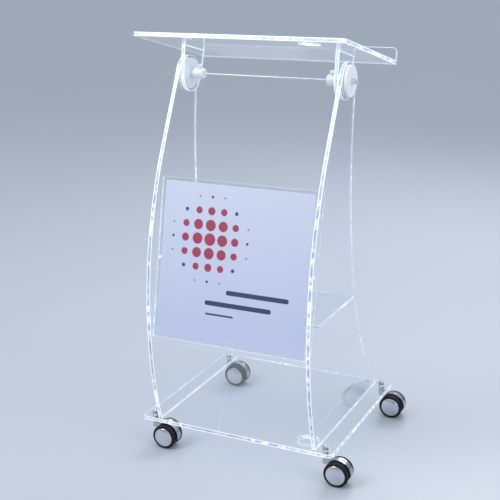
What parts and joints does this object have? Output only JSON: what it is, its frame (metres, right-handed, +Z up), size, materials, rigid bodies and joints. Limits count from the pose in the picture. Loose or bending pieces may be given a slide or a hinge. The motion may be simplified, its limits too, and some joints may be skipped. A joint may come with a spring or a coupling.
{
  "type": "presentation lectern",
  "caption": "Clear acrylic lectern: bowed side panels on a base plate with twin-wheel casters, a shelf, a framed front sign and a tilting reading top with a page stop.",
  "frame": {"origin": "on the floor under the centre of the base plate", "axes": "+Z up, +X across the lectern to the right when seen from the audience side, -Y towards the audience, +Y towards the speaker"},
  "size_m": [0.5917, 0.5005, 1.0895],
  "materials": {
    "clear_acrylic": "clear cast acrylic sheet with polished, bright edges",
    "printed_card": "printed matt card",
    "frosted_acrylic": "frosted white acrylic, turned",
    "white_nylon": "white nylon, soft gloss",
    "steel": "turned bright steel",
    "bright_chrome": "polished chrome plate",
    "black_tyre": "black rubber tread",
    "grey_hub": "moulded grey plastic",
    "satin_cap": "satin silver dome"
  },
  "bodies": {
    "stand": {"base_plate": "clear_acrylic", "left_side_panel": "clear_acrylic", "right_side_panel": "clear_acrylic", "shelf": "clear_acrylic", "sign_back_sheet": "clear_acrylic", "sign_front_sheet": "clear_acrylic", "sign_print": "printed_card", "sign_studs": "clear_acrylic", "tie_rod": "steel", "left_outer_disc": "frosted_acrylic", "right_outer_disc": "frosted_acrylic", "friction_discs": "frosted_acrylic", "left_lock_collar": "white_nylon", "right_lock_collar": "white_nylon", "caster_stems": "steel", "stem_washers": "bright_chrome", "stem_nuts": "bright_chrome"},
    "reading_top": {"reading_plate": "clear_acrylic", "page_stop": "clear_acrylic", "left_ear": "clear_acrylic", "right_ear": "clear_acrylic"},
    "left_screw": {"left_collar_screw": "white_nylon"},
    "right_screw": {"right_collar_screw": "white_nylon"},
    "left_nut": {"left_rod_nut": "steel"},
    "right_nut": {"right_rod_nut": "steel"},
    "front_left_swivel": {"front_left_hood": "bright_chrome", "front_left_axle": "steel"},
    "front_left_wheel_a": {"front_left_tyre_a": "black_tyre", "front_left_hub_a": "grey_hub", "front_left_cap_a": "satin_cap"},
    "front_left_wheel_b": {"front_left_tyre_b": "black_tyre", "front_left_hub_b": "grey_hub", "front_left_cap_b": "satin_cap"},
    "front_right_swivel": {"front_right_hood": "bright_chrome", "front_right_axle": "steel"},
    "front_right_wheel_a": {"front_right_tyre_a": "black_tyre", "front_right_hub_a": "grey_hub", "front_right_cap_a": "satin_cap"},
    "front_right_wheel_b": {"front_right_tyre_b": "black_tyre", "front_right_hub_b": "grey_hub", "front_right_cap_b": "satin_cap"},
    "rear_left_swivel": {"rear_left_hood": "bright_chrome", "rear_left_axle": "steel"},
    "rear_left_wheel_a": {"rear_left_tyre_a": "black_tyre", "rear_left_hub_a": "grey_hub", "rear_left_cap_a": "satin_cap"},
    "rear_left_wheel_b": {"rear_left_tyre_b": "black_tyre", "rear_left_hub_b": "grey_hub", "rear_left_cap_b": "satin_cap"},
    "rear_right_swivel": {"rear_right_hood": "bright_chrome", "rear_right_axle": "steel"},
    "rear_right_wheel_a": {"rear_right_tyre_a": "black_tyre", "rear_right_hub_a": "grey_hub", "rear_right_cap_a": "satin_cap"},
    "rear_right_wheel_b": {"rear_right_tyre_b": "black_tyre", "rear_right_hub_b": "grey_hub", "rear_right_cap_b": "satin_cap"}
  },
  "joints": [
    {"name": "top_tilt", "type": "hinge", "parent": "stand", "child": "reading_top", "pos_m": [0, -0.023, 0.972], "axis": [1, 0, 0], "range_deg": [-31, 14]},
    {"name": "left_screw_turn", "type": "hinge", "parent": "stand", "child": "left_screw", "pos_m": [-0.18124, -0.023, 0.99], "axis": [0, 0, 1], "range_deg": [0, 360]},
    {"name": "right_screw_turn", "type": "hinge", "parent": "stand", "child": "right_screw", "pos_m": [0.18124, -0.023, 0.99], "axis": [0, 0, 1], "range_deg": [0, 360]},
    {"name": "left_nut_turn", "type": "hinge", "parent": "stand", "child": "left_nut", "pos_m": [-0.2415, -0.023, 0.972], "axis": [1, 0, 0], "range_deg": [0, 360]},
    {"name": "right_nut_turn", "type": "hinge", "parent": "stand", "child": "right_nut", "pos_m": [0.2415, -0.023, 0.972], "axis": [1, 0, 0], "range_deg": [0, 360]},
    {"name": "front_left_swivel_turn", "type": "hinge", "parent": "stand", "child": "front_left_swivel", "pos_m": [-0.245, -0.21, 0.065], "axis": [0, 0, 1], "continuous": true},
    {"name": "front_left_wheel_a_roll", "type": "hinge", "parent": "front_left_swivel", "child": "front_left_wheel_a", "pos_m": [-0.21, -0.21, 0.0325], "axis": [0, 1, 0], "continuous": true},
    {"name": "front_left_wheel_b_roll", "type": "hinge", "parent": "front_left_swivel", "child": "front_left_wheel_b", "pos_m": [-0.21, -0.21, 0.0325], "axis": [0, 1, 0], "continuous": true},
    {"name": "front_right_swivel_turn", "type": "hinge", "parent": "stand", "child": "front_right_swivel", "pos_m": [0.245, -0.21, 0.065], "axis": [0, 0, 1], "continuous": true},
    {"name": "front_right_wheel_a_roll", "type": "hinge", "parent": "front_right_swivel", "child": "front_right_wheel_a", "pos_m": [0.28, -0.21, 0.0325], "axis": [0, 1, 0], "continuous": true},
    {"name": "front_right_wheel_b_roll", "type": "hinge", "parent": "front_right_swivel", "child": "front_right_wheel_b", "pos_m": [0.28, -0.21, 0.0325], "axis": [0, 1, 0], "continuous": true},
    {"name": "rear_left_swivel_turn", "type": "hinge", "parent": "stand", "child": "rear_left_swivel", "pos_m": [-0.245, 0.21, 0.065], "axis": [0, 0, 1], "continuous": true},
    {"name": "rear_left_wheel_a_roll", "type": "hinge", "parent": "rear_left_swivel", "child": "rear_left_wheel_a", "pos_m": [-0.21, 0.21, 0.0325], "axis": [0, 1, 0], "continuous": true},
    {"name": "rear_left_wheel_b_roll", "type": "hinge", "parent": "rear_left_swivel", "child": "rear_left_wheel_b", "pos_m": [-0.21, 0.21, 0.0325], "axis": [0, 1, 0], "continuous": true},
    {"name": "rear_right_swivel_turn", "type": "hinge", "parent": "stand", "child": "rear_right_swivel", "pos_m": [0.245, 0.21, 0.065], "axis": [0, 0, 1], "continuous": true},
    {"name": "rear_right_wheel_a_roll", "type": "hinge", "parent": "rear_right_swivel", "child": "rear_right_wheel_a", "pos_m": [0.28, 0.21, 0.0325], "axis": [0, 1, 0], "continuous": true},
    {"name": "rear_right_wheel_b_roll", "type": "hinge", "parent": "rear_right_swivel", "child": "rear_right_wheel_b", "pos_m": [0.28, 0.21, 0.0325], "axis": [0, 1, 0], "continuous": true}
  ]
}
